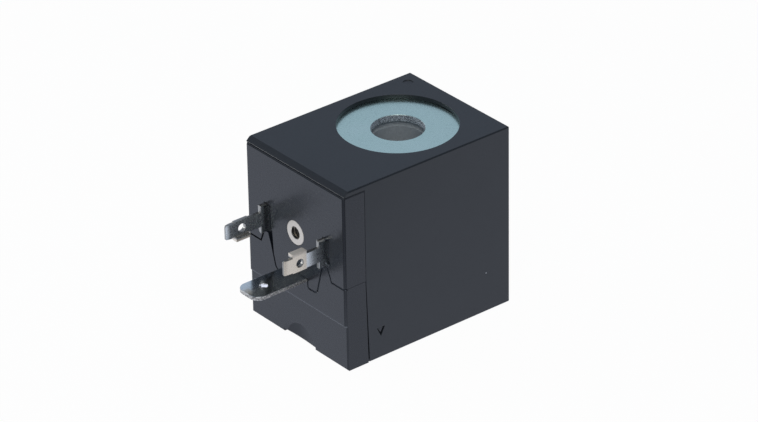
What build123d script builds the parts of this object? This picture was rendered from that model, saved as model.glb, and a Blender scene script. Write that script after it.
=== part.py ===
"""Solenoid valve coil with two flat terminals, an earth blade and a round bore for the valve's tube."""

import os

from build123d import *

os.makedirs("parts", exist_ok=True)

# All sizes are millimetres. The origin is on the bore axis, in the yoke's lower face.
# +Z runs up the bore, the terminals point along -Y, and +X is to their right.

# Outside of the mouldings
coil_width = 30.0
coil_height = 39.0
axis_to_back = 15.5
axis_to_front = 25.3
front_step = 0.35
step_height = 9.7
side_wall = 1.7
end_wall = 0.9
outer_round = 0.3
window_diameter = 23.9
gate_diameter = 2.1
gate_depth = 0.15
gate_x = -11.9
gate_y = 12.4

# Front end of the housing's top wall, which reaches over the cover
lip_setback = 0.25
lip_height = 1.05
lip_chamfer = 1.0
lip_edge = 0.15
lip_gap = 0.3

# Seam between housing and front mouldings, as it shows on the sides
seam_setback = 4.8
seam_low_setback = 5.4
cover_seam_gap = 0.06
base_seam_gap = 0.13
base_seam_low_gap = 0.3

# Joint between cover and base on the front face
joint_height = 18.0
joint_kink_x = 10.9
joint_gap = 0.38
joint_depth = 0.6
joint_inner_gap = 0.05
lobe_inner_x = 3.5
lobe_outer_x = 6.3
lobe_drop = 1.6
lobe_inner_round = 0.55
lobe_outer_round = 1.15
cheek_width = 1.45
lip_rim_width = 0.8

# Front mouldings
plug_depth = 7.8
plug_gap = 0.1
slot_gap = 0.08
pocket_left = 0.7
pocket_right = 1.7
pocket_depth = 0.6
pocket_cut = 1.1
pocket_toe = 0.25
wedge_share = 0.7
cover_bevel = 0.45
base_bevel = 0.3
core_wall = 1.6
front_wall = 2.4
notch_width = 9.9
notch_height = 0.75
scoop_radius = 5.2
scoop_depth = 0.25
scoop_drop = 0.6
step_round = 0.33

# Snap latch between base and housing
latch_setback = 8.25
latch_height = 5.75
latch_width = 1.9
latch_drop = 1.9
lug_width = 1.45
lug_drop = 1.15
latch_gap = 0.05
latch_reach = 1.6
latch_arm = 1.5
latch_arm_end = 9.4
latch_arm_height = 5.2

# Yoke, bobbin and winding
bore_diameter = 10.6
yoke_sheet = 1.5
yoke_gap = 0.15
yoke_bend = 0.8
yoke_reach = 16.5
bobbin_gap = 0.05
bobbin_wall = 1.1
bobbin_flange = 1.2
flange_gap = 0.85
relief_depth = 1.0
relief_width = 0.6
winding_gap = 0.05
winding_diameter = 21.8
tape_thickness = 0.2
tape_gap = 0.03
tape_margin = 3.0
potting_gap = 0.05

# Terminals: the two line terminals are one part, turned half round about the Y axis
terminal_spacing = 18.0
connector_height = 24.25
terminal_drop = 0.25
terminal_sheet = 0.8
terminal_reach = 10.05
shoulder_height = 5.95
shoulder_reach = 1.65
shoulder_depth = 4.6
blade_height = 3.1
contact_start = 4.6
contact_end = 8.0
contact_rise = 0.2
lip_width = 1.35
lip_bend = 0.75
tip_bevel_length = 1.1
tip_bevel = 0.22
tip_round = 0.3
terminal_hole = 1.75
terminal_hole_reach = 6.25
tail_height = 2.4
tail_back = 10.0

# Earth blade and its rivet
ground_height = 15.2
ground_width = 6.4
ground_sheet = 0.8
ground_reach = 12.25
ground_round = 2.0
ground_hole = 1.6
ground_hole_reach = 8.0
ground_bend = 0.8
strap_gap = 0.7
foot_length = 4.1
rivet_diameter = 1.6
rivet_head = 2.7
rivet_head_height = 0.6
rivet_chamfer = 0.4
rivet_sink = 0.5
rivet_gap = 0.03
rivet_edge = 1.55

# Screw insert
insert_diameter = 5.15
insert_length = 6.4
insert_thread_core = 2.5
insert_groove_width = 1.2
insert_groove_depth = 0.4
insert_gap = 0.03
insert_chamfer = 0.1

# Leads from the winding to the terminals' tails
lead_diameter = 0.5
lead_bend = 1.5
lead_drop = 0.7
lead_back = 9.2
sleeve_diameter = 1.1
sleeve_gap = 0.05
sleeve_length = 4.0
sleeve_start = 7.8
solder_radius = 0.95
solder_tip = 0.4
solder_height = 1.5
solder_sink = 0.6

# Planes and faces that several pieces share
half_width = coil_width / 2
bottom = -end_wall
top = bottom + coil_height
inside_half = half_width - side_wall
inside_back = axis_to_back - side_wall
inside_top = top - end_wall
lip_low = top - lip_height
low_face = -axis_to_front
high_face = low_face - front_step
step_z = bottom + step_height
seam_high = low_face + seam_setback
seam_low = low_face + seam_low_setback
joint_z = bottom + joint_height
plug_back = low_face + plug_depth
plug_half = inside_half - plug_gap
bore_radius = bore_diameter / 2
window_radius = window_diameter / 2
connector_z = bottom + connector_height
terminal_x = terminal_spacing / 2
terminal_z = connector_z - terminal_drop
shoulder_low = terminal_z - shoulder_height / 2
shoulder_high = terminal_z + shoulder_height / 2
ground_z = bottom + ground_height
ground_half = ground_width / 2
far = coil_width + coil_height + axis_to_front

# Housing: side outline drawn through, then hollowed from the front
latch_y = low_face + latch_setback
latch_z = bottom + latch_height
latch_corners = [
    (latch_y - latch_width / 2, latch_z + latch_drop / 2),
    (latch_y + latch_width / 2, latch_z + latch_drop / 2),
    (latch_y, latch_z - latch_drop / 2),
]
lip_front = high_face + lip_setback

with BuildPart() as housing:
    with BuildSketch(Plane.YZ):
        with BuildLine():
            Polyline(
                (seam_low, bottom),
                (axis_to_back, bottom),
                (axis_to_back, top),
                (lip_front + lip_chamfer, top),
                (lip_front, lip_low + lip_edge),
                (lip_front, lip_low),
                (seam_high, lip_low),
                (seam_high, joint_z),
                close=True,
            )
        make_face()
    extrude(amount=half_width, both=True)
    back_edges = housing.faces().sort_by(Axis.Y)[-1].edges()
    long_edges = housing.edges().filter_by(Axis.Y).group_by(Axis.Z)
    fillet(back_edges + long_edges[0] + long_edges[-1], radius=outer_round)
    with BuildSketch(Plane.XZ.offset(-inside_back)):
        with Locations((0, inside_top / 2)):
            Rectangle(2 * inside_half, inside_top)
    extrude(amount=inside_back - seam_high, mode=Mode.SUBTRACT)
    with BuildSketch(Plane.XY.offset(bottom)):
        Circle(window_radius)
    extrude(amount=coil_height, mode=Mode.SUBTRACT)
    # Gate mark in a corner of the top face
    with BuildSketch(Plane.XY.offset(top - gate_depth)):
        with Locations((gate_x, gate_y)):
            Circle(gate_diameter / 2)
    extrude(amount=gate_depth, mode=Mode.SUBTRACT)
    with BuildSketch(Plane.YZ):
        with BuildLine():
            Polyline(*latch_corners, close=True)
        make_face()
    extrude(amount=half_width, both=True, mode=Mode.SUBTRACT)
housing.part.label = "housing"
export_step(housing.part, "parts/housing.step")

# The joint line of the front face, from the middle to the right: under the earth blade, round the lobe
# beside it, up to the cheek below the terminal's shoulder, and out to the side
lobe_z = ground_z - lobe_drop
cheek_in = terminal_x - cheek_width / 2
cheek_out = terminal_x + cheek_width / 2
cheek_z = shoulder_low - slot_gap - joint_gap / 2 + joint_inner_gap
right_joint = [
    (lobe_inner_x, ground_z),
    (lobe_inner_x, lobe_z),
    (lobe_outer_x, lobe_z),
    (cheek_in, cheek_z),
    (cheek_out, cheek_z),
    (joint_kink_x, joint_z),
    (far, joint_z),
]
left_joint = [(-x, z) for x, z in reversed(right_joint)]
joint_line = left_joint + right_joint
front_top = lip_low - lip_gap
plug_top = lip_low - plug_gap
plug_bottom = plug_gap
slot_half = terminal_sheet / 2 + slot_gap
bevel_back = high_face + cover_bevel
cover_back = seam_high - cover_seam_gap
rim_x = half_width - lip_rim_width / 2
rim_y = (cover_back + bevel_back) / 2
groove_back = high_face + joint_depth
insert_depth = insert_length + insert_gap
shoulder_back = high_face + shoulder_depth

# The two halves of space that meet at the joint. Both are drawn back by half the gap, but behind the front
# groove the lower one comes up to the upper one.
with BuildPart() as above_joint:
    with BuildSketch(Plane.XZ.offset(-plug_back)) as above_outline:
        with BuildLine():
            Polyline(*joint_line, (far, far), (-far, far), close=True)
        make_face()
        lobe_corners = above_outline.vertices().group_by(Axis.Y)[0].sort_by(Axis.X)
        fillet(lobe_corners[1:3], radius=lobe_inner_round)
        lobe_corners = above_outline.vertices().group_by(Axis.Y)[0].sort_by(Axis.X)
        fillet([lobe_corners[0], lobe_corners[-1]], radius=lobe_outer_round)
        offset(amount=-joint_gap / 2, kind=Kind.INTERSECTION)
    extrude(amount=plug_back - high_face)

with BuildPart() as below_joint:
    for start_y, end_y, growth in (
        (plug_back, groove_back, joint_gap / 2 - joint_inner_gap),
        (groove_back, high_face, -joint_gap / 2),
    ):
        with BuildSketch(Plane.XZ.offset(-start_y)) as below_outline:
            with BuildLine():
                Polyline(*joint_line, (far, -far), (-far, -far), close=True)
            make_face()
            lobe_corners = below_outline.vertices().group_by(Axis.Y)[1].sort_by(Axis.X)
            fillet(lobe_corners[1:3], radius=lobe_inner_round)
            lobe_corners = below_outline.vertices().group_by(Axis.Y)[1].sort_by(Axis.X)
            fillet([lobe_corners[0], lobe_corners[-1]], radius=lobe_outer_round)
            offset(amount=growth, kind=Kind.INTERSECTION)
        extrude(amount=start_y - end_y)

# Shallow pocket on the right of each shoulder, which on the left terminal ends in a wedge along the joint
wedge_run = wedge_share * (cheek_in - lobe_outer_x)
wedge_drop = wedge_share * (shoulder_low - lobe_z)
pocket_tips = [
    (-terminal_x, (wedge_run - cheek_in, shoulder_low - wedge_drop)),
    (terminal_x, (cheek_out, shoulder_low)),
]

with BuildPart() as shoulder_pockets:
    for x, wedge_tip in pocket_tips:
        with BuildSketch(Plane.XZ.offset(-high_face - pocket_depth)):
            with BuildLine():
                Polyline(
                    (x - pocket_left, shoulder_high + slot_gap),
                    (x + pocket_right, shoulder_high + slot_gap),
                    (x + pocket_right, shoulder_low + pocket_cut),
                    wedge_tip,
                    (x + pocket_toe, shoulder_low),
                    (x - pocket_left, shoulder_low),
                    close=True,
                )
            make_face()
        extrude(amount=pocket_depth)

# Terminal cover: front slab and plug, both cut off along the joint
with BuildPart() as terminal_cover:
    with BuildSketch(Plane.XZ.offset(-cover_back)):
        with Locations((0, (front_top + bottom) / 2)):
            Rectangle(coil_width, front_top - bottom)
    extrude(amount=cover_back - high_face)
    bevel_edges = terminal_cover.edges().filter_by(Axis.Z).group_by(Axis.Y)[0]
    chamfer(bevel_edges, length=cover_bevel)
    with BuildSketch(Plane.XZ.offset(-plug_back)):
        with Locations((0, (plug_top + plug_bottom) / 2)):
            Rectangle(2 * plug_half, plug_top - plug_bottom)
    extrude(amount=plug_back - cover_back)
    # Rims that close the gap below the housing's lip on the sides
    with BuildSketch(Plane.XY.offset(front_top)):
        with Locations((-rim_x, rim_y), (rim_x, rim_y)):
            Rectangle(lip_rim_width, cover_back - bevel_back)
    extrude(amount=lip_gap - joint_inner_gap)
    add(above_joint.part, mode=Mode.INTERSECT)
    # Slots that hold the line terminals, open towards the base
    with BuildSketch(Plane.XZ.offset(-shoulder_back - slot_gap)):
        with Locations((-terminal_x, shoulder_low), (terminal_x, shoulder_low)):
            Rectangle(2 * slot_half, 2 * (shoulder_height + slot_gap))
    extrude(amount=far, mode=Mode.SUBTRACT)
    with BuildSketch(Plane.XZ.offset(-plug_back)):
        with Locations((-terminal_x, shoulder_low), (terminal_x, shoulder_low)):
            Rectangle(2 * slot_half, shoulder_height + tail_height + 2 * slot_gap)
    extrude(amount=far, mode=Mode.SUBTRACT)
    add(shoulder_pockets.part, mode=Mode.SUBTRACT)
    # Room for the upper half of the earth blade
    with BuildSketch(Plane.XZ.offset(-plug_back)):
        with Locations((0, ground_z)):
            Rectangle(ground_width + 2 * slot_gap, ground_sheet + 2 * slot_gap)
    extrude(amount=far, mode=Mode.SUBTRACT)
    with BuildSketch(Plane.XZ.offset(-high_face - insert_depth)):
        with Locations((0, connector_z)):
            Circle(insert_diameter / 2 + insert_gap)
    extrude(amount=insert_depth, mode=Mode.SUBTRACT)
    # Core-out above the terminals, open to the rear
    core_low = shoulder_high + core_wall
    core_high = plug_top - core_wall
    with BuildSketch(Plane.XZ.offset(-plug_back)):
        with Locations((0, (core_low + core_high) / 2)):
            Rectangle(2 * (plug_half - core_wall), core_high - core_low)
    extrude(amount=plug_back - high_face - front_wall, mode=Mode.SUBTRACT)
terminal_cover.part.label = "terminal_cover"
export_step(terminal_cover.part, "parts/terminal_cover.step")

# Terminal base: side outline with the parting step and slanting seam, plus its plug and latch arms
latch_arm_back = low_face + latch_arm_end
base_back_low = seam_low - base_seam_low_gap
base_back_high = seam_high - base_seam_gap
lug_top = latch_z + latch_drop / 2 - latch_gap
lug_corners = [
    (latch_y - lug_width / 2, lug_top),
    (latch_y + lug_width / 2, lug_top),
    (latch_y, lug_top - lug_drop),
]

with BuildPart() as terminal_base:
    with BuildSketch(Plane.YZ):
        with BuildLine():
            Polyline(
                (low_face, bottom),
                (base_back_low, bottom),
                (base_back_high, joint_z),
                (base_back_high, connector_z),
                (low_face, connector_z),
                close=True,
            )
        make_face()
    extrude(amount=half_width, both=True)
    low_edges = terminal_base.edges().filter_by(Axis.Z).group_by(Axis.Y)[0]
    chamfer(low_edges, length=base_bevel)
    chamfer(terminal_base.faces().sort_by(Axis.Z)[0].edges().group_by(Axis.Y)[0], length=base_bevel)
    with BuildSketch(Plane.XY.offset(step_z)):
        with BuildLine():
            Polyline(
                (-half_width, base_back_high),
                (half_width, base_back_high),
                (half_width, bevel_back),
                (half_width - cover_bevel, high_face),
                (cover_bevel - half_width, high_face),
                (-half_width, bevel_back),
                close=True,
            )
        make_face()
    extrude(amount=connector_z - step_z)
    step_edges = terminal_base.edges().filter_by_position(Axis.Z, step_z, step_z)
    fillet(step_edges.group_by(Axis.Y)[0], radius=step_round)
    with BuildSketch(Plane.XZ.offset(-plug_back)):
        with Locations((0, (plug_bottom + connector_z) / 2)):
            Rectangle(2 * plug_half, connector_z - plug_bottom)
    extrude(amount=plug_back - base_back_high)
    add(below_joint.part, mode=Mode.INTERSECT)
    with BuildSketch(Plane.XZ.offset(-plug_back)):
        with Locations((0, ground_z)):
            Rectangle(ground_width + 2 * slot_gap, ground_sheet + 2 * slot_gap)
    extrude(amount=far, mode=Mode.SUBTRACT)
    # Core-out below the earth blade, open to the rear
    core_top = lobe_z - core_wall
    core_bottom = plug_bottom + core_wall
    with BuildSketch(Plane.XZ.offset(-plug_back)):
        with Locations((0, (core_bottom + core_top) / 2)):
            Rectangle(2 * (plug_half - core_wall), core_top - core_bottom)
    extrude(amount=plug_back - high_face - front_wall, mode=Mode.SUBTRACT)
    add(shoulder_pockets.part, mode=Mode.SUBTRACT)
    # Notch in the lower edge and the shallow scoop above it
    with BuildSketch(Plane.XZ.offset(-plug_back)):
        with Locations((0, bottom)):
            Rectangle(notch_width, 2 * notch_height)
    extrude(amount=far, mode=Mode.SUBTRACT)
    scoop_sphere = (scoop_radius**2 + scoop_depth**2) / (2 * scoop_depth)
    with Locations((0, low_face + scoop_depth - scoop_sphere, bottom - scoop_drop)):
        Sphere(scoop_sphere, mode=Mode.SUBTRACT)
    # Latch arms reach back along the side walls and carry the lugs
    for side in (-1, 1):
        with BuildSketch(Plane.XZ.offset(-latch_arm_back)):
            with Locations((side * (plug_half - latch_arm / 2), latch_z)):
                Rectangle(latch_arm, latch_arm_height)
        extrude(amount=latch_arm_back - plug_back)
        with BuildSketch(Plane.YZ.offset(side * plug_half)):
            with BuildLine():
                Polyline(*lug_corners, close=True)
            make_face()
        extrude(amount=side * latch_reach)
terminal_base.part.label = "terminal_base"
export_step(terminal_base.part, "parts/terminal_base.step")

# Yoke: one steel strip bent to a U, with the bore in both legs
yoke_half = inside_half - yoke_gap
yoke_back = inside_back - yoke_gap
foot_top = yoke_sheet + ground_sheet
strap_y = plug_back + strap_gap + ground_sheet / 2
foot_end = strap_y + foot_length
rivet_y = foot_end - rivet_edge

with BuildPart() as yoke:
    with BuildSketch(Plane.YZ):
        with BuildLine():
            Polyline(
                (-yoke_reach, 0),
                (yoke_back, 0),
                (yoke_back, inside_top),
                (-yoke_reach, inside_top),
                (-yoke_reach, inside_top - yoke_sheet),
                (yoke_back - yoke_sheet, inside_top - yoke_sheet),
                (yoke_back - yoke_sheet, yoke_sheet),
                (-yoke_reach, yoke_sheet),
                close=True,
            )
        make_face()
    extrude(amount=yoke_half, both=True)
    bend_edges = yoke.edges().filter_by(Axis.X)
    fillet(bend_edges.group_by(Axis.Y)[-1], radius=yoke_bend + yoke_sheet)
    bend_edges = yoke.edges().filter_by(Axis.X)
    inner_edges = bend_edges.filter_by_position(Axis.Y, yoke_back - yoke_sheet, yoke_back - yoke_sheet)
    fillet(inner_edges.filter_by_position(Axis.Z, yoke_sheet, inside_top - yoke_sheet), radius=yoke_bend)
    with BuildSketch(Plane.XY):
        Circle(bore_radius)
    extrude(amount=inside_top, mode=Mode.SUBTRACT)
    with BuildSketch(Plane.XY):
        with Locations((0, rivet_y)):
            Circle(rivet_diameter / 2 + rivet_gap)
    extrude(amount=yoke_sheet, mode=Mode.SUBTRACT)
    with BuildSketch(Plane.XZ.offset(-rivet_y)):
        with BuildLine():
            Polyline(
                (0, 0),
                (rivet_diameter / 2 + rivet_gap + rivet_sink, 0),
                (rivet_diameter / 2 + rivet_gap, rivet_sink),
                (0, rivet_sink),
                close=True,
            )
        make_face()
    revolve(axis=Axis((0, rivet_y, 0), (0, 0, 1)), mode=Mode.SUBTRACT)
yoke.part.label = "yoke"
export_step(yoke.part, "parts/yoke.step")

# Bobbin: turned profile, relieved at both mouths of its bore
bobbin_low = yoke_sheet + bobbin_gap
bobbin_high = inside_top - yoke_sheet - bobbin_gap
flange_radius = yoke_back - yoke_sheet - flange_gap
tube_radius = bore_radius + bobbin_wall
relief_radius = bore_radius + relief_width
winding_low = bobbin_low + bobbin_flange + winding_gap
winding_high = bobbin_high - bobbin_flange - winding_gap

with BuildPart() as bobbin:
    with BuildSketch(Plane.XZ):
        with BuildLine():
            Polyline(
                (relief_radius, bobbin_low),
                (flange_radius, bobbin_low),
                (flange_radius, bobbin_low + bobbin_flange),
                (tube_radius, bobbin_low + bobbin_flange),
                (tube_radius, bobbin_high - bobbin_flange),
                (flange_radius, bobbin_high - bobbin_flange),
                (flange_radius, bobbin_high),
                (relief_radius, bobbin_high),
                (relief_radius, bobbin_high - relief_depth),
                (bore_radius, bobbin_high - relief_depth),
                (bore_radius, bobbin_low + relief_depth),
                (relief_radius, bobbin_low + relief_depth),
                close=True,
            )
        make_face()
    revolve(axis=Axis.Z)
bobbin.part.label = "bobbin"
export_step(bobbin.part, "parts/bobbin.step")

# Winding: one ring that stands for all the layers of wire
winding_radius = winding_diameter / 2

with BuildPart() as winding:
    with BuildSketch(Plane.XY.offset(winding_low)):
        Circle(winding_radius)
        Circle(tube_radius + winding_gap, mode=Mode.SUBTRACT)
    extrude(amount=winding_high - winding_low)
winding.part.label = "winding"
export_step(winding.part, "parts/winding.step")

# Tape round the winding, below the leads
lead_z = bobbin_high - bobbin_flange - lead_drop
tape_inner = winding_radius + tape_gap
tape_low = winding_low + tape_margin
tape_high = lead_z - sleeve_diameter

with BuildPart() as winding_tape:
    with BuildSketch(Plane.XY.offset(tape_low)):
        Circle(tape_inner + tape_thickness)
        Circle(tape_inner, mode=Mode.SUBTRACT)
    extrude(amount=tape_high - tape_low)
winding_tape.part.label = "winding_tape"
export_step(winding_tape.part, "parts/winding_tape.step")

# Potting: resin block between the flanges, round the tape and inside the housing
potting_back = yoke_back - yoke_sheet - potting_gap

with BuildPart() as potting_fill:
    with BuildSketch(Plane.XY.offset(bobbin_low + bobbin_flange + potting_gap)):
        Rectangle(2 * (inside_half - potting_gap), 2 * potting_back)
        Circle(tape_inner + tape_thickness + potting_gap, mode=Mode.SUBTRACT)
    extrude(amount=tape_high - bobbin_low - bobbin_flange - potting_gap)
potting_fill.part.label = "potting_fill"
export_step(potting_fill.part, "parts/potting_fill.step")

# Line terminal: side outline, folded lip on the upper edge of the contact, bevelled tip
terminal_tip = high_face - terminal_reach
contact_front = high_face - contact_end
contact_rear = high_face - contact_start
blade_top = terminal_z + blade_height / 2
blade_bottom = terminal_z - blade_height / 2
tail_end = low_face + tail_back
tail_top = terminal_z + tail_height / 2

with BuildPart() as terminal_right:
    with BuildSketch(Plane.YZ.offset(terminal_x)):
        with BuildLine():
            Polyline(
                (terminal_tip, blade_top),
                (contact_rear, blade_top),
                (high_face - shoulder_reach, blade_top),
                (high_face - shoulder_reach, shoulder_high),
                (shoulder_back, shoulder_high),
                (shoulder_back, tail_top),
                (tail_end, tail_top),
                (tail_end, terminal_z - tail_height / 2),
                (shoulder_back, terminal_z - tail_height / 2),
                (shoulder_back, shoulder_low),
                (high_face - shoulder_reach, shoulder_low),
                (high_face - shoulder_reach, blade_bottom),
                (contact_rear, blade_bottom),
                (contact_rear, blade_bottom - contact_rise),
                (contact_front, blade_bottom - contact_rise),
                (contact_front, blade_bottom),
                (terminal_tip, blade_bottom),
                close=True,
            )
        make_face()
    extrude(amount=terminal_sheet / 2, both=True)
    tip_corners = terminal_right.edges().filter_by(Axis.X).group_by(Axis.Y)[0]
    fillet(tip_corners, radius=tip_round)
    # Plan outline, which tapers both faces towards the tip
    with BuildSketch(Plane.XY):
        with BuildLine():
            Polyline(
                (terminal_x - terminal_sheet / 2 + tip_bevel, terminal_tip),
                (terminal_x + terminal_sheet / 2 - tip_bevel, terminal_tip),
                (terminal_x + terminal_sheet / 2, terminal_tip + tip_bevel_length),
                (terminal_x + terminal_sheet / 2, tail_end),
                (terminal_x - terminal_sheet / 2, tail_end),
                (terminal_x - terminal_sheet / 2, terminal_tip + tip_bevel_length),
                close=True,
            )
        make_face()
    extrude(amount=top, mode=Mode.INTERSECT)
    with BuildSketch(Plane.YZ.offset(terminal_x + terminal_sheet / 2)):
        with Locations(((contact_front + contact_rear) / 2, blade_top + terminal_sheet / 2)):
            Rectangle(contact_rear - contact_front, terminal_sheet)
    extrude(amount=-lip_width)
    lip_edges = terminal_right.edges().filter_by(Axis.Y).group_by(Axis.Z)[-1]
    fillet(lip_edges.sort_by(Axis.X)[-1], radius=lip_bend)
    with BuildSketch(Plane.YZ):
        with Locations((high_face - terminal_hole_reach, terminal_z)):
            Circle(terminal_hole / 2)
    extrude(amount=far, mode=Mode.SUBTRACT)
terminal_right.part.label = "terminal_right"
export_step(terminal_right.part, "parts/terminal_right.step")

with BuildPart() as terminal_left:
    add(terminal_right.part.rotate(Axis((0, 0, terminal_z), (0, 1, 0)), 180))
terminal_left.part.label = "terminal_left"
export_step(terminal_left.part, "parts/terminal_left.step")

# Earth blade: strip bent down behind the base, with a foot on the yoke's lower leg
ground_tip = high_face - ground_reach
ground_low = ground_z - ground_sheet / 2
ground_high = ground_z + ground_sheet / 2
outer_bend = ground_bend + ground_sheet

with BuildPart() as ground_blade:
    with BuildSketch(Plane.YZ):
        with BuildLine():
            Polyline(
                (ground_tip, ground_low),
                (strap_y - ground_sheet / 2, ground_low),
                (strap_y - ground_sheet / 2, yoke_sheet),
                (foot_end, yoke_sheet),
                (foot_end, foot_top),
                (strap_y + ground_sheet / 2, foot_top),
                (strap_y + ground_sheet / 2, ground_high),
                (ground_tip, ground_high),
                close=True,
            )
        make_face()
    extrude(amount=ground_half, both=True)
    cross_edges = ground_blade.edges().filter_by(Axis.X)
    near_strap = cross_edges.filter_by_position(Axis.Y, strap_y - ground_sheet, strap_y + ground_sheet)
    by_height = near_strap.sort_by(Axis.Z)
    fillet([by_height[0], by_height[-1]], radius=outer_bend)
    cross_edges = ground_blade.edges().filter_by(Axis.X)
    near_strap = cross_edges.filter_by_position(Axis.Y, strap_y - ground_sheet, strap_y + ground_sheet)
    inner_low = near_strap.filter_by_position(Axis.Z, foot_top, foot_top)
    inner_high = near_strap.filter_by_position(Axis.Z, ground_low, ground_low)
    fillet(inner_low + inner_high, radius=ground_bend)
    tip_edges = ground_blade.edges().filter_by(Axis.Z).group_by(Axis.Y)[0]
    fillet(tip_edges, radius=ground_round)
    with BuildSketch(Plane.XY.offset(ground_low)):
        with Locations((0, high_face - ground_hole_reach)):
            Circle(ground_hole / 2)
    extrude(amount=ground_sheet, mode=Mode.SUBTRACT)
    with BuildSketch(Plane.XY.offset(yoke_sheet)):
        with Locations((0, rivet_y)):
            Circle(rivet_diameter / 2 + rivet_gap)
    extrude(amount=ground_sheet, mode=Mode.SUBTRACT)
ground_blade.part.label = "ground_blade"
export_step(ground_blade.part, "parts/ground_blade.step")

# Rivet through the foot and the yoke's lower leg, countersunk below
with BuildPart() as ground_rivet:
    with BuildSketch(Plane.XZ.offset(-rivet_y)):
        with BuildLine():
            Polyline(
                (0, 0),
                (rivet_diameter / 2 + rivet_sink, 0),
                (rivet_diameter / 2, rivet_sink),
                (rivet_diameter / 2, foot_top),
                (rivet_head / 2, foot_top),
                (rivet_head / 2, foot_top + rivet_head_height),
                (0, foot_top + rivet_head_height),
                close=True,
            )
        make_face()
    revolve(axis=Axis((0, rivet_y, 0), (0, 0, 1)))
    chamfer(ground_rivet.edges().filter_by(GeomType.CIRCLE).sort_by(Axis.Z)[-1], length=rivet_chamfer)
ground_rivet.part.label = "ground_rivet"
export_step(ground_rivet.part, "parts/ground_rivet.step")

# Screw insert: turned sleeve with an anchoring groove round its middle
insert_radius = insert_diameter / 2
insert_back = high_face + insert_length
core_radius = insert_thread_core / 2
groove_front = high_face + (insert_length - insert_groove_width) / 2
groove_back = groove_front + insert_groove_width

with BuildPart() as threaded_insert:
    with BuildSketch(Plane.XY.offset(connector_z)):
        with BuildLine():
            Polyline(
                (core_radius + insert_chamfer, high_face),
                (insert_radius, high_face),
                (insert_radius, groove_front),
                (insert_radius - insert_groove_depth, groove_front),
                (insert_radius - insert_groove_depth, groove_back),
                (insert_radius, groove_back),
                (insert_radius, insert_back),
                (core_radius, insert_back),
                (core_radius, high_face + insert_chamfer),
                close=True,
            )
        make_face()
    revolve(axis=Axis((0, 0, connector_z), (0, 1, 0)))
threaded_insert.part.label = "threaded_insert"
export_step(threaded_insert.part, "parts/threaded_insert.step")

# Leads run under the upper flange, over the potting and down to the terminals' tails
lead_y = low_face + lead_back
lead_start = -((winding_radius + winding_gap) ** 2 - (terminal_x - lead_diameter / 2) ** 2) ** 0.5

with BuildPart() as start_lead:
    with BuildLine(Plane.YZ.offset(-terminal_x)) as lead_path:
        FilletPolyline((lead_start, lead_z), (lead_y, lead_z), (lead_y, tail_top), radius=lead_bend)
    with BuildSketch(Plane.XZ.offset(-lead_start)):
        with Locations((-terminal_x, lead_z)):
            Circle(lead_diameter / 2)
    sweep(path=lead_path.line)
start_lead.part.label = "start_lead"
export_step(start_lead.part, "parts/start_lead.step")

with BuildPart() as finish_lead:
    add(start_lead.part.mirror(Plane.YZ))
finish_lead.part.label = "finish_lead"
export_step(finish_lead.part, "parts/finish_lead.step")

with BuildPart() as start_sleeve:
    with BuildSketch(Plane.XZ.offset(sleeve_start)):
        with Locations((-terminal_x, lead_z)):
            Circle(sleeve_diameter / 2)
            Circle(lead_diameter / 2 + sleeve_gap, mode=Mode.SUBTRACT)
    extrude(amount=sleeve_length)
start_sleeve.part.label = "start_sleeve"
export_step(start_sleeve.part, "parts/start_sleeve.step")

with BuildPart() as finish_sleeve:
    add(start_sleeve.part.mirror(Plane.YZ))
finish_sleeve.part.label = "finish_sleeve"
export_step(finish_sleeve.part, "parts/finish_sleeve.step")

# Solder: a cone over each tail and the end of its lead
with BuildPart() as start_solder:
    with Locations((-terminal_x, lead_y, tail_top - solder_sink + solder_height / 2)):
        Cone(bottom_radius=solder_radius, top_radius=solder_tip, height=solder_height)
    add(start_lead.part, mode=Mode.SUBTRACT)
    add(terminal_left.part, mode=Mode.SUBTRACT)
start_solder.part.label = "start_solder"
export_step(start_solder.part, "parts/start_solder.step")

with BuildPart() as finish_solder:
    add(start_solder.part.mirror(Plane.YZ))
finish_solder.part.label = "finish_solder"
export_step(finish_solder.part, "parts/finish_solder.step")
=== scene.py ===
import math

import bmesh
import bpy
from mathutils import Matrix, Vector


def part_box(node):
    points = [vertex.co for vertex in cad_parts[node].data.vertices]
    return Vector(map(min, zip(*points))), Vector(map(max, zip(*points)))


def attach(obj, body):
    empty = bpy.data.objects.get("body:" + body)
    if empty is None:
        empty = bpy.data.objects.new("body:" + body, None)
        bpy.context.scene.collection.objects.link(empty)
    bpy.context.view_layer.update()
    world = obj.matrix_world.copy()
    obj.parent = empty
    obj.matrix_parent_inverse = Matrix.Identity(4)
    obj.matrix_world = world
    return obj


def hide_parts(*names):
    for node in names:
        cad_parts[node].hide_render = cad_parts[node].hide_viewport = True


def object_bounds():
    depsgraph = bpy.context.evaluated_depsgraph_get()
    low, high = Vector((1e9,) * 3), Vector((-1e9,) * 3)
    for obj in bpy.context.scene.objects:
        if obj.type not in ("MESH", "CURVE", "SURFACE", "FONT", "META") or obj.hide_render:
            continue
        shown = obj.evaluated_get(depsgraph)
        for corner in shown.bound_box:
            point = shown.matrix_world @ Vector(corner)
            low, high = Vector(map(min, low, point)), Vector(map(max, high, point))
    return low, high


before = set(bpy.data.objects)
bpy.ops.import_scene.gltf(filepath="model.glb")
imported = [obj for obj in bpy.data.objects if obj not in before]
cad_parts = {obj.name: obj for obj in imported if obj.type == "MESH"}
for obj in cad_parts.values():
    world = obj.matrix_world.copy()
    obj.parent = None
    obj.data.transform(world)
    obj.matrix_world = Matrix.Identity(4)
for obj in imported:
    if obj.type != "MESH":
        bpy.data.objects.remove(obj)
cad_low, cad_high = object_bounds()
MM = 0.001

# View, floor and light: a pale table with a low softbox on the left, a large high one on the right that
# shines into the bore, and a pale room. The lens is long, so the coil shows hardly any perspective.

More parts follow.
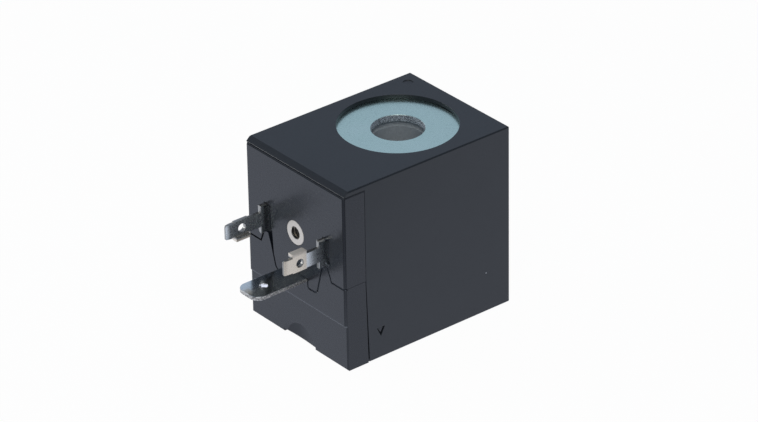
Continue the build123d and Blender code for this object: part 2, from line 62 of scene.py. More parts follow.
floor_z = cad_low.z
eye = Vector((575.20, -467.08, 435.73)) * MM + Vector((0, 0, floor_z))
target = Vector((-0.58, -4.55, 21.06)) * MM + Vector((0, 0, floor_z))
roll = math.radians(-0.973)
back = (eye - target).normalized()
level_right = Vector((0, 0, 1)).cross(back).normalized()
level_up = back.cross(level_right)
camera_right = level_right * math.cos(roll) + level_up * math.sin(roll)
camera_up = level_up * math.cos(roll) - level_right * math.sin(roll)
lens = bpy.data.cameras.new("long_lens")
lens.sensor_width = 36
lens.lens = 207.0
lens.clip_start = 0.01
lens.clip_end = 20
camera = bpy.data.objects.new("camera", lens)
turn = Matrix((camera_right, camera_up, back)).transposed()
camera.matrix_world = Matrix.Translation(eye) @ turn.to_4x4()
bpy.context.scene.collection.objects.link(camera)
bpy.context.scene.camera = camera
bpy.context.scene.view_settings.view_transform = "Standard"


def srgb(code):
    parts = [int(code[i : i + 2], 16) / 255 for i in (1, 3, 5)]
    return (*[p / 12.92 if p <= 0.04045 else ((p + 0.055) / 1.055) ** 2.4 for p in parts], 1)


# Sockets go by name or number. A Map Range takes its value on 0, the range it comes from on 1 and 2, and the
# one it goes to on 3 and 4. A Mix takes its share on 0, and mixes numbers on 2 and 3 or colours on 6 and 7.
def add_node(tree, kind, inputs=None, **settings):
    made = tree.nodes.new(kind)
    for name, value in settings.items():
        setattr(made, name, value)
    for socket, value in (inputs or {}).items():
        if isinstance(value, bpy.types.NodeSocket):
            tree.links.new(value, made.inputs[socket])
        else:
            made.inputs[socket].default_value = value
    return made


# The room is white to the camera. To the object it is a dim blue-grey, brightest behind it on the left, where
# a window would be, so the top is paler than the bevels that look to the front and right.
room_light = srgb("#a8b4c6")
bright_side = (-0.78, 0.626, 0.0)
dim_room = 0.35
bright_room = 1.08
world = bpy.data.worlds.new("studio")
bpy.context.scene.world = world
world.use_nodes = True
tree = world.node_tree
tree.nodes.clear()
path = add_node(tree, "ShaderNodeLightPath")
towards = add_node(tree, "ShaderNodeTexCoord").outputs["Generated"]
lean = add_node(tree, "ShaderNodeVectorMath", {0: towards, 1: bright_side}, operation="DOT_PRODUCT")
level = add_node(
    tree, "ShaderNodeMapRange", {0: lean.outputs["Value"], 1: -0.2, 2: 0.8, 3: dim_room, 4: bright_room}
)
room = add_node(tree, "ShaderNodeBackground", {"Color": room_light, "Strength": level.outputs[0]})
white = add_node(tree, "ShaderNodeBackground", {"Color": srgb("#ffffff"), "Strength": 1.0})
seen = add_node(
    tree, "ShaderNodeMixShader", {0: path.outputs["Is Camera Ray"], 1: room.outputs[0], 2: white.outputs[0]}
)
add_node(tree, "ShaderNodeOutputWorld", {"Surface": seen.outputs[0]})


def softbox(name, place, aim, width, height, watts, tint):
    lamp = bpy.data.lights.new(name, "AREA")
    lamp.shape = "RECTANGLE"
    lamp.size = width
    lamp.size_y = height
    lamp.energy = watts
    lamp.color = srgb(tint)[:3]
    made = bpy.data.objects.new(name, lamp)
    made.location = place
    made.rotation_mode = "QUATERNION"
    made.rotation_quaternion = (Vector(aim) - Vector(place)).to_track_quat("-Z", "Y")
    bpy.context.scene.collection.objects.link(made)


softbox("key_left", (-0.42, -0.34, 0.08), (0, -0.02, 0.02), 0.30, 0.14, 0.8, "#fbfdff")
softbox("fill_high", (0.42, -0.34, 0.72), (0, 0, 0.03), 0.50, 0.50, 3.0, "#fbf9f6")

floor_half = 1.5
floor_bm = bmesh.new()
bmesh.ops.create_grid(floor_bm, x_segments=1, y_segments=1, size=floor_half)
bmesh.ops.translate(floor_bm, vec=(0, 0, floor_z), verts=floor_bm.verts)
floor_mesh = bpy.data.meshes.new("floor")
floor_bm.to_mesh(floor_mesh)
floor_bm.free()
floor = bpy.data.objects.new("floor", floor_mesh)
bpy.context.scene.collection.objects.link(floor)

# White table: white to the camera but for a trace of shadow, and plain diffuse. Reflections show the pool of
# light that the window leaves on it: cool off-white round the coil, dimmer far away and towards the camera.
pool_centre = Vector((-0.25, 0.20, floor_z))
pool_radius = 0.42
pool_end = 0.80
beyond_pool = 0.4
shaded_line = -0.070
lit_line = -0.045
shaded_level = 0.35
lit_level = 1.13
white_share = 0.97
mirrored_share = 0.9
table_white = bpy.data.materials.new("white_table")
table_white.use_nodes = True
tree = table_white.node_tree
tree.nodes.clear()
path = add_node(tree, "ShaderNodeLightPath")
matt = add_node(tree, "ShaderNodeBsdfDiffuse", {"Color": srgb("#f2f2f2")})
glow = add_node(tree, "ShaderNodeEmission", {"Color": srgb("#ffffff"), "Strength": 1.0})
ground = add_node(tree, "ShaderNodeTexCoord").outputs["Object"]
lean = add_node(tree, "ShaderNodeVectorMath", {0: ground, 1: bright_side}, operation="DOT_PRODUCT")
near_side = add_node(
    tree,
    "ShaderNodeMapRange",
    {0: lean.outputs["Value"], 1: shaded_line, 2: lit_line, 3: shaded_level, 4: lit_level},
)
away = add_node(tree, "ShaderNodeVectorMath", {0: ground, 1: pool_centre}, operation="DISTANCE")
fade = add_node(
    tree,
    "ShaderNodeMapRange",
    {0: away.outputs["Value"], 1: pool_radius, 2: pool_end, 3: 1.0, 4: beyond_pool},
)
level = add_node(tree, "ShaderNodeMath", {0: near_side.outputs[0], 1: fade.outputs[0]}, operation="MULTIPLY")
sheen = add_node(tree, "ShaderNodeEmission", {"Color": srgb("#e4ebfb"), "Strength": level.outputs[0]})
either = add_node(
    tree,
    "ShaderNodeMath",
    {0: path.outputs["Is Camera Ray"], 1: path.outputs["Is Transmission Ray"]},
    operation="MAXIMUM",
)
share = add_node(tree, "ShaderNodeMath", {0: either.outputs[0], 1: white_share}, operation="MULTIPLY")
mirrored = add_node(
    tree, "ShaderNodeMath", {0: path.outputs["Is Glossy Ray"], 1: mirrored_share}, operation="MULTIPLY"
)
table = add_node(
    tree, "ShaderNodeMixShader", {0: mirrored.outputs[0], 1: matt.outputs[0], 2: sheen.outputs[0]}
)
mixed = add_node(tree, "ShaderNodeMixShader", {0: share.outputs[0], 1: table.outputs[0], 2: glow.outputs[0]})
add_node(tree, "ShaderNodeOutputMaterial", {"Surface": mixed.outputs[0]})
floor.data.materials.append(table_white)


# Housing: one black shell moulded in glass-filled polyamide over the finished coil, open at the front, with a
# round window in its top and bottom walls. Its outer edges are rounded in the mould, the rest nearly sharp.

merge_distance = 0.002 * MM
flat_angle = math.radians(0.5)
edge_angle = math.radians(35)


def softened_copy(node, name, round_mm, steps=2):
    """A CAD node's mesh merged to one skin, its flat facets joined and its sharp edges rounded."""
    mesh = bpy.data.meshes.new(name)
    skin = bmesh.new()
    skin.from_mesh(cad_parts[node].data)
    bmesh.ops.remove_doubles(skin, verts=skin.verts, dist=merge_distance)
    bmesh.ops.dissolve_limit(skin, angle_limit=flat_angle, verts=skin.verts, edges=skin.edges)
    for face in skin.faces:
        face.smooth = True
    skin.to_mesh(mesh)
    skin.free()
    piece = bpy.data.objects.new(name, mesh)
    bpy.context.scene.collection.objects.link(piece)
    bevel = piece.modifiers.new("rounded_edges", "BEVEL")
    bevel.width = round_mm * MM
    bevel.segments = steps
    bevel.limit_method = "ANGLE"
    bevel.angle_limit = edge_angle
    bevel.use_clamp_overlap = True
    shading = piece.modifiers.new("flat_faces_stay_flat", "WEIGHTED_NORMAL")
    shading.keep_sharp = True
    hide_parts(node)
    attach(piece, "root")
    return piece


def new_material(name):
    made = bpy.data.materials.new(name)
    made.use_nodes = True
    made.node_tree.nodes.clear()
    return made, made.node_tree


def dress(piece, material):
    piece.data.materials.clear()
    piece.data.materials.append(material)


# Glass-filled polyamide from a spark-eroded mould: a matt grain of about 0.2 mm, a faint cloudiness and a few
# specks of dust. Where the grain stands high, the surface is rougher.
cloud_mm = 6
speck_core = 0.010
speck_rim = 0.022


def black_polyamide(name, dark, light, grain_mm, dust_cell_mm, smoothest, roughest):
    made, tree = new_material(name)
    place = add_node(tree, "ShaderNodeTexCoord").outputs["Object"]
    cloud = add_node(
        tree,
        "ShaderNodeTexNoise",
        {"Vector": place, "Scale": 1 / (cloud_mm * MM), "Detail": 4.0, "Roughness": 0.6},
    )
    tone = add_node(
        tree, "ShaderNodeMix", {0: cloud.outputs["Fac"], 6: srgb(dark), 7: srgb(light)}, data_type="RGBA"
    )
    cells = add_node(tree, "ShaderNodeTexVoronoi", {"Vector": place, "Scale": 1 / (dust_cell_mm * MM)})
    speck = add_node(
        tree,
        "ShaderNodeMapRange",
        {0: cells.outputs["Distance"], 1: speck_core, 2: speck_rim, 3: 1.0, 4: 0.0},
    )
    dusted = add_node(
        tree, "ShaderNodeMix", {0: speck.outputs[0], 6: tone.outputs[2], 7: srgb("#b9bcc0")}, data_type="RGBA"
    )
    grain = add_node(
        tree,
        "ShaderNodeTexNoise",
        {"Vector": place, "Scale": 1 / (grain_mm * MM), "Detail": 3.0, "Roughness": 0.65},
    )
    sheen = add_node(
        tree, "ShaderNodeMapRange", {0: grain.outputs["Fac"], 1: 0.3, 2: 0.7, 3: smoothest, 4: roughest}
    )
    relief = add_node(
        tree, "ShaderNodeBump", {"Height": grain.outputs["Fac"], "Strength": 0.25, "Distance": 0.02 * MM}
    )
    shell = add_node(
        tree,
        "ShaderNodeBsdfPrincipled",
        {
            "Base Color": dusted.outputs[2],
            "Roughness": sheen.outputs[0],
            "Normal": relief.outputs[0],
            "IOR": 1.48,
        },
    )
    add_node(tree, "ShaderNodeOutputMaterial", {"Surface": shell.outputs[0]})
    return made, shell


housing_black = black_polyamide("polyamide_housing", "#1c2025", "#23272c", 0.22, 9.0, 0.30, 0.42)[0]
housing = softened_copy("housing", "moulded_housing", 0.10)
dress(housing, housing_black)

# Terminal cover and terminal base: two black mouldings that close the front, meet along a stepped joint and
# hold the blades between them. Same polyamide, a little finer in texture and glossier than the housing.

front_black, shell = black_polyamide("polyamide_front", "#14181f", "#1b1f27", 0.18, 11.0, 0.20, 0.30)
tree = front_black.node_tree
plain_colour = shell.inputs["Base Color"].links[0].from_socket
plain_roughness = shell.inputs["Roughness"].links[0].from_socket
place = add_node(tree, "ShaderNodeTexCoord").outputs["Object"]
spot = add_node(tree, "ShaderNodeSeparateXYZ", {0: place})
cover_low, cover_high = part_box("terminal_cover")
front_y = cover_low.y
half_width = cover_high.x


# The share of a surface that looks across an axis: a sheet's cut edges, a groove's walls or a sleeve's bore
def cut_edge_share(tree, flat_axis):
    normal = add_node(tree, "ShaderNodeTexCoord").outputs["Normal"]
    facing = add_node(tree, "ShaderNodeSeparateXYZ", {0: normal})
    size = add_node(tree, "ShaderNodeMath", {0: facing.outputs[flat_axis]}, operation="ABSOLUTE")
    share = add_node(tree, "ShaderNodeMapRange", {0: size.outputs[0], 1: 0.35, 2: 0.75, 3: 1.0, 4: 0.0})
    return share.outputs[0]


# The scoop above the notch was eroded deeper in the mould, so it is matter, most of all on its left
scoop_centre = Vector((0.5 * MM, 0, floor_z - 0.6 * MM))
scoop_radius = 4.6 * MM
scoop_rim = 0.96 * scoop_radius
scoop_roughness = 0.62
off_centre = add_node(tree, "ShaderNodeVectorMath", {0: place, 1: scoop_centre}, operation="SUBTRACT")
across = add_node(
    tree, "ShaderNodeVectorMath", {0: off_centre.outputs[0], 1: (1.0, 0.0, 1.0)}, operation="MULTIPLY"
)
reach = add_node(tree, "ShaderNodeVectorMath", {0: across.outputs[0]}, operation="LENGTH")
in_scoop = add_node(
    tree, "ShaderNodeMapRange", {0: reach.outputs["Value"], 1: scoop_rim, 2: scoop_radius, 3: 1.0, 4: 0.0}
)
sideways = add_node(tree, "ShaderNodeSeparateXYZ", {0: off_centre.outputs[0]})
leftwards = add_node(
    tree, "ShaderNodeMapRange", {0: sideways.outputs["X"], 1: -1 * MM, 2: 5.5 * MM, 3: 1.0, 4: 0.3}
)
matter = add_node(
    tree, "ShaderNodeMath", {0: in_scoop.outputs[0], 1: leftwards.outputs[0]}, operation="MULTIPLY"
)
eroded = add_node(
    tree, "ShaderNodeMix", {0: matter.outputs[0], 2: plain_roughness, 3: scoop_roughness}, data_type="FLOAT"
)

# The cover's upper edge is a ledge below the housing's lip, and it is matt
rim_height = 0.25 * MM
ledge_z = cover_high.z - rim_height
ledge_roughness = 0.7
ledge = add_node(
    tree,
    "ShaderNodeMapRange",
    {0: spot.outputs["Z"], 1: ledge_z - 0.07 * MM, 2: ledge_z - 0.05 * MM, 3: 0.0, 4: 1.0},
)
matt_ledge = add_node(
    tree, "ShaderNodeMix", {0: ledge.outputs[0], 2: eroded.outputs[0], 3: ledge_roughness}, data_type="FLOAT"
)
tree.links.new(matt_ledge.outputs[0], shell.inputs["Roughness"])

# Painted light: the walls of the joint's groove above the parting step are painted paler, the more the deeper
# they lie, standing in for light that reaches into it, and the ledge a little. The groove's left end with its
# wedge is left unpainted, and so are the mouldings' sides.
groove_light_start = front_y + 0.05 * MM
groove_light_full = front_y + 0.35 * MM
groove_light_low = floor_z + 10.0 * MM
wedge_end = -6.0 * MM
wedge_clear = -5.0 * MM
ledge_light_share = 0.4
deep = add_node(
    tree, "ShaderNodeMapRange", {0: spot.outputs["Y"], 1: groove_light_start, 2: groove_light_full, 3: 0.0, 4: 1.0}
)
above_step = add_node(
    tree, "ShaderNodeMapRange", {0: spot.outputs["Z"], 1: groove_light_low, 2: groove_light_low + 0.1 * MM, 3: 0.0, 4: 1.0}
)
off_middle = add_node(tree, "ShaderNodeMath", {0: spot.outputs["X"]}, operation="ABSOLUTE")
inside_sides = add_node(
    tree,
    "ShaderNodeMapRange",
    {0: off_middle.outputs[0], 1: half_width - 0.20 * MM, 2: half_width - 0.10 * MM, 3: 1.0, 4: 0.0},
)
past_wedge = add_node(
    tree, "ShaderNodeMapRange", {0: spot.outputs["X"], 1: wedge_end, 2: wedge_clear, 3: 0.0, 4: 1.0}
)
clear_of_wedge = add_node(
    tree, "ShaderNodeMath", {0: past_wedge.outputs[0], 1: ledge.outputs[0]}, operation="MAXIMUM"
)
weaker_on_ledge = add_node(
    tree, "ShaderNodeMapRange", {0: ledge.outputs[0], 1: 0.0, 2: 1.0, 3: 1.0, 4: ledge_light_share}
)
painted_groove_light = cut_edge_share(tree, "Y")
for limit in (deep, above_step, inside_sides, clear_of_wedge, weaker_on_ledge):
    both = add_node(tree, "ShaderNodeMath", {0: painted_groove_light, 1: limit.outputs[0]}, operation="MULTIPLY")
    painted_groove_light = both.outputs[0]
groove_lit_colour = add_node(tree, "ShaderNodeMix", {0: painted_groove_light, 6: plain_colour, 7: srgb("#7c828c")}, data_type="RGBA")

# Painted highlight: the parting step's rounded edge is painted paler, standing in for the light line it
# catches
edge_low = floor_z + 9.7 * MM
edge_high = edge_low + 0.33 * MM
edge_rear = front_y + 0.40 * MM
past_rear = front_y + 0.42 * MM
above_low = add_node(
    tree, "ShaderNodeMapRange", {0: spot.outputs["Z"], 1: edge_low - 0.02 * MM, 2: edge_low, 3: 0.0, 4: 1.0}
)
below_high = add_node(
    tree, "ShaderNodeMapRange", {0: spot.outputs["Z"], 1: edge_high - 0.15 * MM, 2: edge_high, 3: 1.0, 4: 0.0}
)
before_rear = add_node(
    tree, "ShaderNodeMapRange", {0: spot.outputs["Y"], 1: edge_rear, 2: past_rear, 3: 1.0, 4: 0.0}
)
painted_step_highlight = above_low.outputs[0]
for limit in (below_high, before_rear):
    both = add_node(tree, "ShaderNodeMath", {0: painted_step_highlight, 1: limit.outputs[0]}, operation="MULTIPLY")
    painted_step_highlight = both.outputs[0]
step_highlit_colour = add_node(
    tree, "ShaderNodeMix", {0: painted_step_highlight, 6: groove_lit_colour.outputs[2], 7: srgb("#6b7178")}, data_type="RGBA"
)
tree.links.new(step_highlit_colour.outputs[2], shell.inputs["Base Color"])

for node, edge_round in (("terminal_cover", 0.04), ("terminal_base", 0.07)):
    moulding = softened_copy(node, node + "_moulding", edge_round)
    dress(moulding, front_black)

# Yoke: sheet steel bent to a U, zinc plated and blue passivated. Its upper leg shows as the pale ring in the
# housing's window, and the punch has left the wall of its hole rough and speckled.

zinc_blue, tree = new_material("zinc_blue_passivated_steel")
crystal_mm = 0.35
patch_mm = 7
place = add_node(tree, "ShaderNodeTexCoord").outputs["Object"]
crystal = add_node(
    tree,
    "ShaderNodeTexNoise",
    {"Vector": place, "Scale": 1 / (crystal_mm * MM), "Detail": 3.0, "Roughness": 0.7},
)
patch = add_node(
    tree,
    "ShaderNodeTexNoise",
    {"Vector": place, "Scale": 1 / (patch_mm * MM), "Detail": 2.0, "Roughness": 0.5},
)
tint = add_node(
    tree, "ShaderNodeMix", {0: patch.outputs["Fac"], 6: srgb("#c5e2d8"), 7: srgb("#d3e9e3")}, data_type="RGBA"
)
pits = add_node(tree, "ShaderNodeMapRange", {0: crystal.outputs["Fac"], 1: 0.56, 2: 0.72, 3: 0.0, 4: 0.35})
speckled = add_node(
    tree, "ShaderNodeMix", {0: pits.outputs[0], 6: tint.outputs[2], 7: srgb("#7d959d")}, data_type="RGBA"
)
matt = add_node(tree, "ShaderNodeMapRange", {0: crystal.outputs["Fac"], 1: 0.3, 2: 0.7, 3: 0.20, 4: 0.34})
relief = add_node(
    tree, "ShaderNodeBump", {"Height": crystal.outputs["Fac"], "Strength": 0.2, "Distance": 0.02 * MM}
)


# A wall that a punch has cut shows torn, bared metal in grains between dull ones
def torn_colour(tree, place, grain_mm, dull, bared):
    tears = add_node(
        tree, "ShaderNodeTexNoise", {"Vector": place, "Scale": 1 / (grain_mm * MM), "Detail": 2.0}
    )
    grains = add_node(tree, "ShaderNodeMapRange", {0: tears.outputs["Fac"], 1: 0.38, 2: 0.62, 3: 0.0, 4: 1.0})
    torn = add_node(
        tree, "ShaderNodeMix", {0: grains.outputs[0], 6: srgb(dull), 7: srgb(bared)}, data_type="RGBA"
    )
    return torn.outputs[2]


def plated_metal(tree, colour, roughness, relief):
    metal = add_node(
        tree,
        "ShaderNodeBsdfPrincipled",
        {"Base Color": colour, "Metallic": 1.0, "Roughness": roughness, "Normal": relief},
    )
    add_node(tree, "ShaderNodeOutputMaterial", {"Surface": metal.outputs[0]})


cut_roughness = 0.75
cut = cut_edge_share(tree, "Z")
torn = torn_colour(tree, place, 0.2, "#8a949a", "#f4fbff")
coloured = add_node(tree, "ShaderNodeMix", {0: cut, 6: speckled.outputs[2], 7: torn}, data_type="RGBA")
rough = add_node(tree, "ShaderNodeMix", {0: cut, 2: matt.outputs[0], 3: cut_roughness}, data_type="FLOAT")
plated_metal(tree, coloured.outputs[2], rough.outputs[0], relief.outputs[0])
yoke = softened_copy("yoke", "bent_yoke", 0.14, steps=3)
dress(yoke, zinc_blue)

# Bobbin: moulded in dark grey glass-filled polyester. Its bore wall shows below the yoke's hole, a step back
# from it all round, and glass fibres leave it slightly mottled.

bobbin_grey, tree = new_material("glass_filled_polyester")
fibre_mm = 0.4
place = add_node(tree, "ShaderNodeTexCoord").outputs["Object"]
fibres = add_node(
    tree,
    "ShaderNodeTexNoise",
    {"Vector": place, "Scale": 1 / (fibre_mm * MM), "Detail": 4.0, "Roughness": 0.7},
)
tone = add_node(
    tree,
    "ShaderNodeMix",
    {0: fibres.outputs["Fac"], 6: srgb("#7f878c"), 7: srgb("#b9c0c4")},
    data_type="RGBA",
)
relief = add_node(
    tree, "ShaderNodeBump", {"Height": fibres.outputs["Fac"], "Strength": 0.2, "Distance": 0.02 * MM}
)
moulded = add_node(
    tree,
    "ShaderNodeBsdfPrincipled",
    {"Base Color": tone.outputs[2], "Roughness": 0.5, "Normal": relief.outputs[0], "IOR": 1.56},
)
add_node(tree, "ShaderNodeOutputMaterial", {"Surface": moulded.outputs[0]})
dress(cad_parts["bobbin"], bobbin_grey)

# Line terminals: stamped from 0.8 mm brass sheet, one lip folded over, then tinned bright. The stamping
# leaves rounded edges, and the tin a fine orange peel.

bright_tin, tree = new_material("bright_tin_on_brass")
peel_mm = 0.3
place = add_node(tree, "ShaderNodeTexCoord").outputs["Object"]
spot = add_node(tree, "ShaderNodeSeparateXYZ", {0: place})
peel = add_node(
    tree,
    "ShaderNodeTexNoise",
    {"Vector": place, "Scale": 1 / (peel_mm * MM), "Detail": 3.0, "Roughness": 0.6},
)
tint = add_node(
    tree, "ShaderNodeMix", {0: peel.outputs["Fac"], 6: srgb("#cabfad"), 7: srgb("#e3d7c4")}, data_type="RGBA"
)
polish = add_node(tree, "ShaderNodeMapRange", {0: peel.outputs["Fac"], 1: 0.3, 2: 0.7, 3: 0.25, 4: 0.32})
relief = add_node(
    tree, "ShaderNodeBump", {"Height": peel.outputs["Fac"], "Strength": 0.06, "Distance": 0.01 * MM}
)

# Painted reflection: the tin is painted bluer and paler behind the contact, and all over the left terminal,
# standing in for the cool reflection of the black front and the room
blade_low, blade_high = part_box("terminal_right")
contact_reach = 5.45 * MM
contact_rear = blade_low.y + contact_reach
reflection_tint_share = 0.8
behind = add_node(
    tree,
    "ShaderNodeMapRange",
    {0: spot.outputs["Y"], 1: contact_rear - 0.3 * MM, 2: contact_rear + 0.2 * MM, 3: 0.0, 4: 1.0},
)
root_part = add_node(tree, "ShaderNodeMath", {0: behind.outputs[0], 1: reflection_tint_share}, operation="MULTIPLY")
left_part = add_node(
    tree, "ShaderNodeMapRange", {0: spot.outputs["X"], 1: -1 * MM, 2: 1 * MM, 3: reflection_tint_share, 4: 0.0}
)
painted_reflection = add_node(
    tree, "ShaderNodeMath", {0: root_part.outputs[0], 1: left_part.outputs[0]}, operation="MAXIMUM"
)
reflection_tinted = add_node(
    tree, "ShaderNodeMix", {0: painted_reflection.outputs[0], 6: tint.outputs[2], 7: srgb("#e9f0f2")}, data_type="RGBA"
)

# The sheet's cut edges are duller
edge_roughness = 0.38
cut = cut_edge_share(tree, "X")
duller = add_node(tree, "ShaderNodeMix", {0: cut, 6: reflection_tinted.outputs[2], 7: srgb("#a09e99")}, data_type="RGBA")
rough = add_node(tree, "ShaderNodeMix", {0: cut, 2: polish.outputs[0], 3: edge_roughness}, data_type="FLOAT")

# The folded lip is matt from the press and painted paler: a painted highlight on the lip. Nothing else before
# the blade's root lies so far above or below its middle.
blade_middle = (blade_low.z + blade_high.z) / 2
lip_start = 1.80 * MM
lip_full = 1.85 * MM
lip_roughness = 0.72
height = add_node(tree, "ShaderNodeMath", {0: spot.outputs["Z"], 1: blade_middle}, operation="SUBTRACT")
off_blade = add_node(tree, "ShaderNodeMath", {0: height.outputs[0]}, operation="ABSOLUTE")
far_off = add_node(
    tree, "ShaderNodeMapRange", {0: off_blade.outputs[0], 1: lip_start, 2: lip_full, 3: 0.0, 4: 1.0}
)
before_root = add_node(tree, "ShaderNodeMath", {0: 1.0, 1: behind.outputs[0]}, operation="SUBTRACT")
on_lip = add_node(
    tree, "ShaderNodeMath", {0: far_off.outputs[0], 1: before_root.outputs[0]}, operation="MULTIPLY"
)
lip_highlit_colour = add_node(
    tree, "ShaderNodeMix", {0: on_lip.outputs[0], 6: duller.outputs[2], 7: srgb("#ece4d8")}, data_type="RGBA"
)
pressed = add_node(
    tree, "ShaderNodeMix", {0: on_lip.outputs[0], 2: rough.outputs[0], 3: lip_roughness}, data_type="FLOAT"
)
plated_metal(tree, lip_highlit_colour.outputs[2], pressed.outputs[0], relief.outputs[0])

for node in ("terminal_left", "terminal_right"):
    blade = softened_copy(node, node + "_blade", 0.10, steps=3)
    dress(blade, bright_tin)

# Earth blade: stamped from 0.8 mm steel strip and plated almost mirror bright, so it shows the black front
# above it. Its foot is riveted to the yoke inside.

bright_steel, tree = new_material("bright_plated_steel")
line_mm = 0.25
along_strip = 0.08
cut_roughness = 0.65
place = add_node(tree, "ShaderNodeTexCoord").outputs["Object"]
rolled = add_node(tree, "ShaderNodeMapping", {0: place, "Scale": (1.0, along_strip, 1.0)})
lines = add_node(
    tree,
    "ShaderNodeTexNoise",
    {"Vector": rolled.outputs[0], "Scale": 1 / (line_mm * MM), "Detail": 3.0, "Roughness": 0.6},
)
polish = add_node(tree, "ShaderNodeMapRange", {0: lines.outputs["Fac"], 1: 0.3, 2: 0.7, 3: 0.08, 4: 0.16})
relief = add_node(
    tree, "ShaderNodeBump", {"Height": lines.outputs["Fac"], "Strength": 0.06, "Distance": 0.01 * MM}
)
cut = cut_edge_share(tree, "Z")
torn = torn_colour(tree, place, 0.35, "#93918d", "#dfdcd6")
tint = add_node(tree, "ShaderNodeMix", {0: cut, 6: srgb("#dfe6e8"), 7: torn}, data_type="RGBA")
rough = add_node(tree, "ShaderNodeMix", {0: cut, 2: polish.outputs[0], 3: cut_roughness}, data_type="FLOAT")

# The hole's wall is sheared smooth, and its colour is painted near white: a painted highlight where it
# mirrors the white table
strip_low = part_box("ground_blade")[0]
hole_inset = 4.25 * MM
hole_centre = Vector((0, strip_low.y + hole_inset, 0))
white_within = 0.86 * MM
white_until = 0.94 * MM
sheared_roughness = 0.25
level_place = add_node(tree, "ShaderNodeVectorMath", {0: place, 1: (1.0, 1.0, 0.0)}, operation="MULTIPLY")
from_hole = add_node(
    tree, "ShaderNodeVectorMath", {0: level_place.outputs[0], 1: hole_centre}, operation="DISTANCE"
)
in_hole = add_node(
    tree,
    "ShaderNodeMapRange",
    {0: from_hole.outputs["Value"], 1: white_within, 2: white_until, 3: 1.0, 4: 0.0},
)
sheared = add_node(
    tree,
    "ShaderNodeMix",
    {0: in_hole.outputs[0], 2: rough.outputs[0], 3: sheared_roughness},
    data_type="FLOAT",
)
hole_highlit_colour = add_node(
    tree, "ShaderNodeMix", {0: in_hole.outputs[0], 6: tint.outputs[2], 7: srgb("#fdfdfd")}, data_type="RGBA"
)
plated_metal(tree, hole_highlit_colour.outputs[2], sheared.outputs[0], relief.outputs[0])
earth = softened_copy("ground_blade", "earth_blade", 0.16, steps=3)
dress(earth, bright_steel)

# Screw insert: turned brass sleeve, nickel plated, pressed in flush with the front. The M3 thread is one
# ridge that runs round the bore at 0.5 mm pitch.

insert_low, insert_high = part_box("threaded_insert")
insert_centre = (insert_low + insert_high) / 2
insert_front = insert_low.y
insert_back = insert_high.y
insert_radius = (insert_high.x - insert_low.x) / 2
thread_major = 1.5 * MM
thread_minor = 1.25 * MM
thread_pitch = 0.5 * MM
lead_chamfer = 0.1 * MM
mouth_land = 0.3 * MM
ridge_root = 0.21 * MM
ridge_crest = 0.05 * MM
ridge_bed = 0.05 * MM
rim_round = 0.08 * MM
spin_steps = 64


def outline_edges(skin, points):
    corners = [skin.verts.new(point) for point in points]
    pairs = zip(corners, corners[1:] + corners[:1])
    return corners + [skin.edges.new(pair) for pair in pairs]


sleeve = bmesh.new()
sleeve_outline = [
    (thread_minor + lead_chamfer, insert_front),
    (insert_radius - rim_round, insert_front),
    (insert_radius, insert_front + rim_round),
    (insert_radius, insert_back - rim_round),
    (insert_radius - rim_round, insert_back),
    (thread_minor + lead_chamfer, insert_back),
    (thread_minor, insert_back - lead_chamfer),
    (thread_minor, insert_back - mouth_land),
    (thread_major, insert_back - mouth_land - ridge_root),
    (thread_major, insert_front + mouth_land + ridge_root),
    (thread_minor, insert_front + mouth_land),
    (thread_minor, insert_front + lead_chamfer),
]
profile = outline_edges(
    sleeve, [(insert_centre.x + across, along, insert_centre.z) for across, along in sleeve_outline]
)
bmesh.ops.spin(
    sleeve,
    geom=profile,
    cent=insert_centre,
    axis=(0, 1, 0),
    angle=2 * math.pi,
    steps=spin_steps,
    use_merge=True,
    use_duplicate=False,
)
bmesh.ops.remove_doubles(sleeve, verts=sleeve.verts, dist=0.001 * MM)
bmesh.ops.recalc_face_normals(sleeve, faces=sleeve.faces)

ridge = bmesh.new()
ridge_start = insert_front + mouth_land + 2 * ridge_root
turns = int((insert_back - insert_front - 2 * (mouth_land + 2 * ridge_root)) / thread_pitch)
ridge_outline = [
    (thread_major + ridge_bed, ridge_start - ridge_root),
    (thread_minor, ridge_start - ridge_crest),
    (thread_minor, ridge_start + ridge_crest),
    (thread_major + ridge_bed, ridge_start + ridge_root),
]
profile = outline_edges(
    ridge, [(insert_centre.x + across, along, insert_centre.z) for across, along in ridge_outline]
)
first_end = [v for v in profile if isinstance(v, bmesh.types.BMVert)]
ridge.faces.new(first_end)
swept = bmesh.ops.spin(
    ridge,
    geom=profile,
    cent=insert_centre,
    axis=(0, 1, 0),
    dvec=(0, thread_pitch / spin_steps, 0),
    angle=2 * math.pi * turns,
    steps=spin_steps * turns,
    use_merge=False,
    use_duplicate=False,
)
last_end = [v for v in swept["geom_last"] if isinstance(v, bmesh.types.BMVert)]
bmesh.ops.contextual_create(ridge, geom=last_end)
bmesh.ops.recalc_face_normals(ridge, faces=ridge.faces)

# Nickel plating is warm and silky on the turned faces, and darker inside the bore, where little light falls
nickel, tree = new_material("nickel_plated_brass")
turning_mm = 0.25
place = add_node(tree, "ShaderNodeTexCoord").outputs["Object"]
turned = add_node(
    tree,
    "ShaderNodeTexNoise",
    {"Vector": place, "Scale": 1 / (turning_mm * MM), "Detail": 3.0, "Roughness": 0.6},
)
tint = add_node(
    tree,
    "ShaderNodeMix",
    {0: turned.outputs["Fac"], 6: srgb("#cdc3b4"), 7: srgb("#ddd6cb")},
    data_type="RGBA",
)
polish = add_node(tree, "ShaderNodeMapRange", {0: turned.outputs["Fac"], 1: 0.3, 2: 0.7, 3: 0.30, 4: 0.42})
inside = cut_edge_share(tree, "Y")
shaded = add_node(
    tree, "ShaderNodeMix", {0: inside, 6: tint.outputs[2], 7: srgb("#6c7076")}, data_type="RGBA"
)
plated = add_node(
    tree,
    "ShaderNodeBsdfPrincipled",
    {"Base Color": shaded.outputs[2], "Metallic": 1.0, "Roughness": polish.outputs[0]},
)
add_node(tree, "ShaderNodeOutputMaterial", {"Surface": plated.outputs[0]})

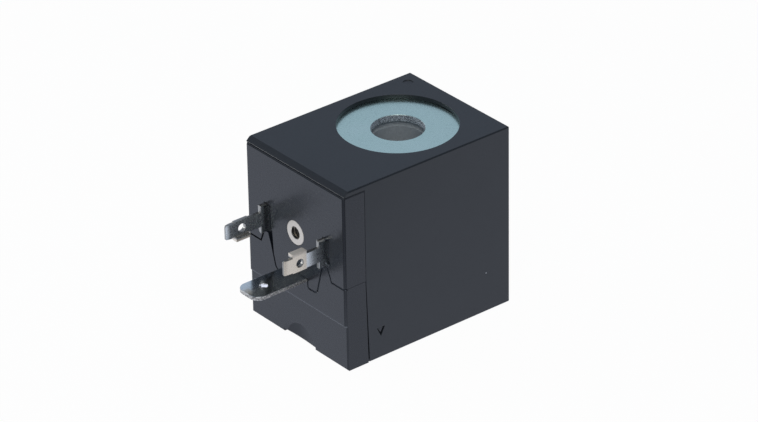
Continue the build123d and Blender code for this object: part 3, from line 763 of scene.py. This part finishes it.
for name, skin in (("insert_sleeve", sleeve), ("insert_thread", ridge)):
    for face in skin.faces:
        face.smooth = True
    mesh = bpy.data.meshes.new(name)
    skin.to_mesh(mesh)
    skin.free()
    mesh.set_sharp_from_angle(angle=math.radians(30))
    piece = bpy.data.objects.new(name, mesh)
    bpy.context.scene.collection.objects.link(piece)
    dress(piece, nickel)
    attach(piece, "root")
    if name == "insert_sleeve":
        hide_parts("threaded_insert")

# Inside pieces: winding and leads of enamelled copper wire, yellow film tape, black cast resin, woven
# sleeves, soft solder and the rivet. They stay as the solids are. Each row gives the finish's name, its
# darker and lighter tone, how metallic and how rough it is, and the size of its grain in millimetres.

inner_finishes = {
    "winding": ("enamelled_copper_wire", "#a65a2e", "#b9703f", 1.0, 0.30, 0.35),
    "start_lead": ("enamelled_copper_lead", "#a65a2e", "#b9703f", 1.0, 0.28, 0.35),
    "finish_lead": ("enamelled_copper_lead_end", "#a65a2e", "#b9703f", 1.0, 0.28, 0.35),
    "winding_tape": ("polyester_film_tape", "#c9a63a", "#d6b64f", 0.0, 0.25, 1.5),
    "potting_fill": ("cast_epoxy_resin", "#17181a", "#222326", 0.0, 0.30, 2.0),
    "start_sleeve": ("woven_glass_sleeve", "#d8cfba", "#ece5d4", 0.0, 0.80, 0.2),
    "finish_sleeve": ("woven_glass_sleeve_end", "#d8cfba", "#ece5d4", 0.0, 0.80, 0.2),
    "start_solder": ("soft_solder", "#b5b7b8", "#c9cacb", 1.0, 0.30, 0.4),
    "finish_solder": ("soft_solder_end", "#b5b7b8", "#c9cacb", 1.0, 0.30, 0.4),
    "ground_rivet": ("plated_steel_rivet", "#aeb3b6", "#c4c8ca", 1.0, 0.32, 0.5),
}
for node, (name, dark, light, metallic, roughness, grain_mm) in inner_finishes.items():
    made, tree = new_material(name)
    place = add_node(tree, "ShaderNodeTexCoord").outputs["Object"]
    grain = add_node(
        tree, "ShaderNodeTexNoise", {"Vector": place, "Scale": 1 / (grain_mm * MM), "Detail": 3.0}
    )
    tone = add_node(
        tree, "ShaderNodeMix", {0: grain.outputs["Fac"], 6: srgb(dark), 7: srgb(light)}, data_type="RGBA"
    )
    relief = add_node(
        tree, "ShaderNodeBump", {"Height": grain.outputs["Fac"], "Strength": 0.2, "Distance": 0.02 * MM}
    )
    finish = add_node(
        tree,
        "ShaderNodeBsdfPrincipled",
        {
            "Base Color": tone.outputs[2],
            "Metallic": metallic,
            "Roughness": roughness,
            "Normal": relief.outputs[0],
        },
    )
    add_node(tree, "ShaderNodeOutputMaterial", {"Surface": finish.outputs[0]})
    dress(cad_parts[node], made)
